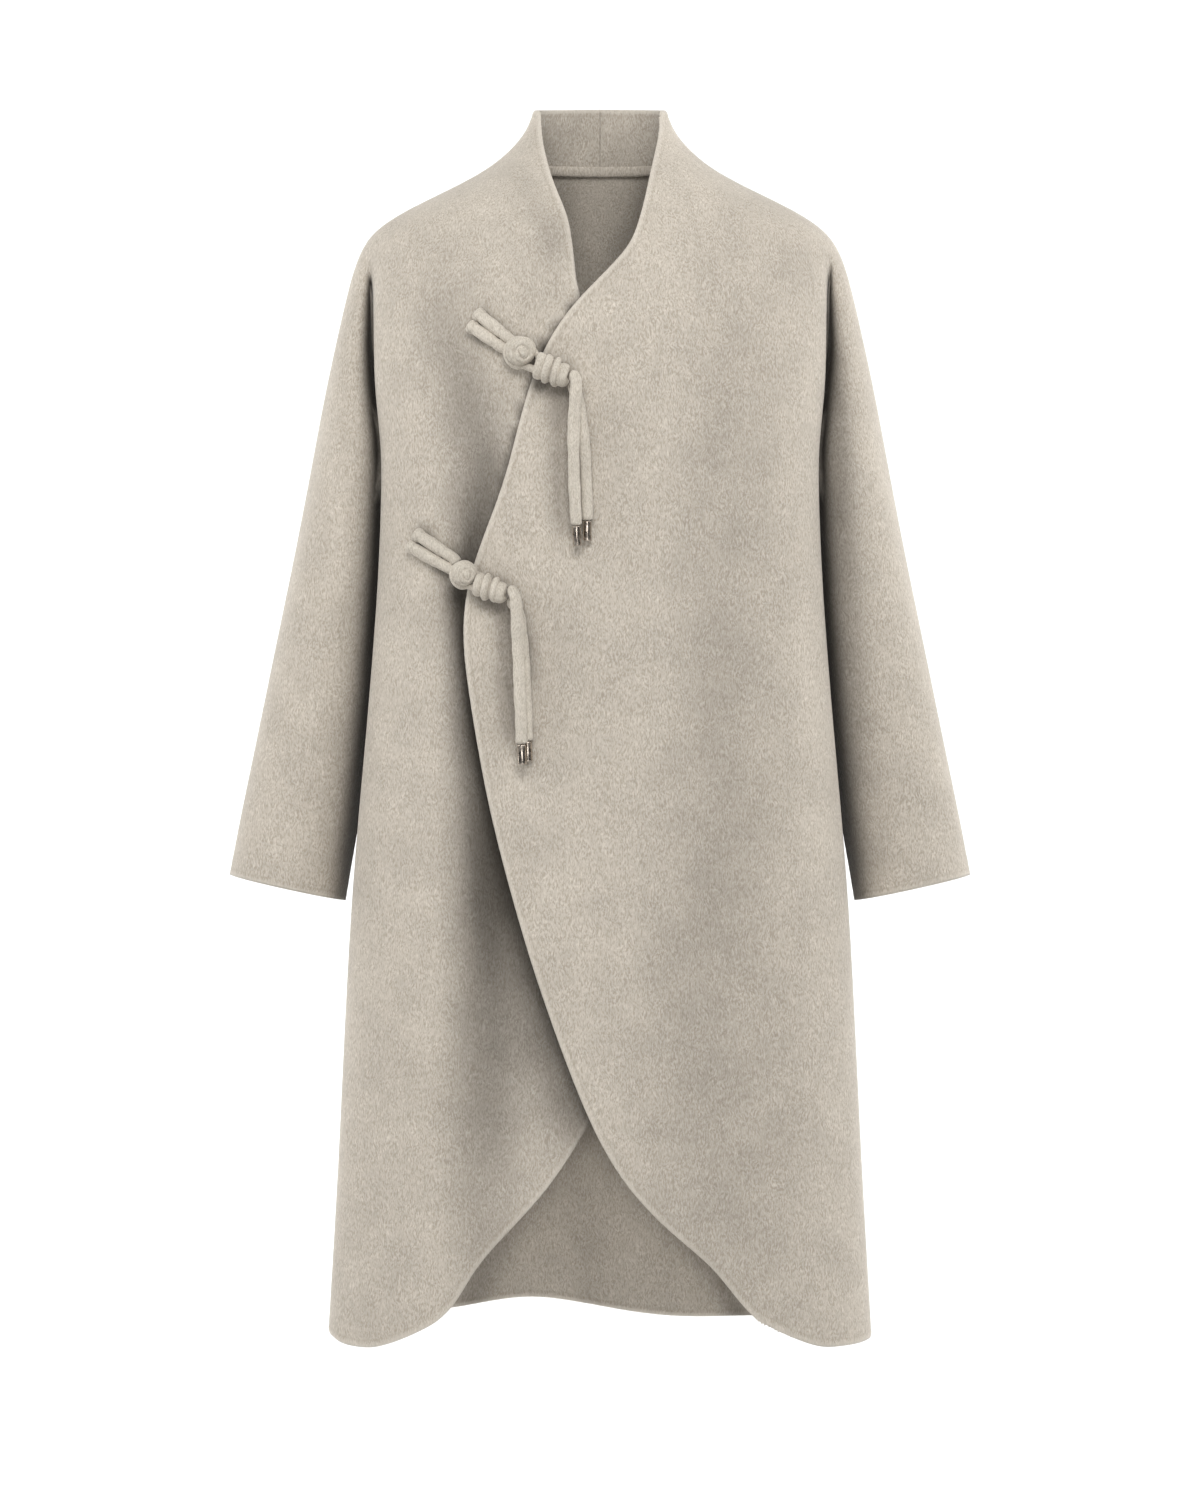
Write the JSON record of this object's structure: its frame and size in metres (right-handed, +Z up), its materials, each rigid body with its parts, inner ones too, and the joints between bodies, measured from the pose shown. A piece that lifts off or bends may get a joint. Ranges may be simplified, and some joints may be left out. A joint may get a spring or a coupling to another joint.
{
  "type": "wrap coat",
  "caption": "Long wrap coat of brushed double-faced wool in light oatmeal, grown-on stand collar, curved overlapping fronts closed by knotted cord ties with metal-tipped tails",
  "frame": {"origin": "on the centre plane, level with the back neck seam, between the shoulders that hold the coat up", "axes": "+X to the wearer's left, -Y out of the front, +Z up along the coat's length"},
  "size_m": [0.669, 0.3443, 1.1143],
  "materials": {
    "wool_cloth": "brushed",
    "wool_cord": "soft",
    "gunmetal": "polished"
  },
  "bodies": {
    "root": {"back": "wool_cloth", "front_left": "wool_cloth", "front_right": "wool_cloth", "neck_strip": "wool_cloth", "tie_1_leg_upper": "wool_cord", "tie_1_leg_lower": "wool_cord", "tie_1_ball_knot": "wool_cord", "tie_1_loop": "wool_cord", "tie_1_wrapped_roll": "wool_cord", "tie_1_tail_front": "wool_cord", "tie_1_tail_back": "wool_cord", "tie_1_aglet_front": "gunmetal", "tie_1_aglet_back": "gunmetal", "tie_2_leg_upper": "wool_cord", "tie_2_leg_lower": "wool_cord", "tie_2_ball_knot": "wool_cord", "tie_2_loop": "wool_cord", "tie_2_wrapped_roll": "wool_cord", "tie_2_tail_front": "wool_cord", "tie_2_tail_back": "wool_cord", "tie_2_aglet_front": "gunmetal", "tie_2_aglet_back": "gunmetal"}
  },
  "joints": []
}
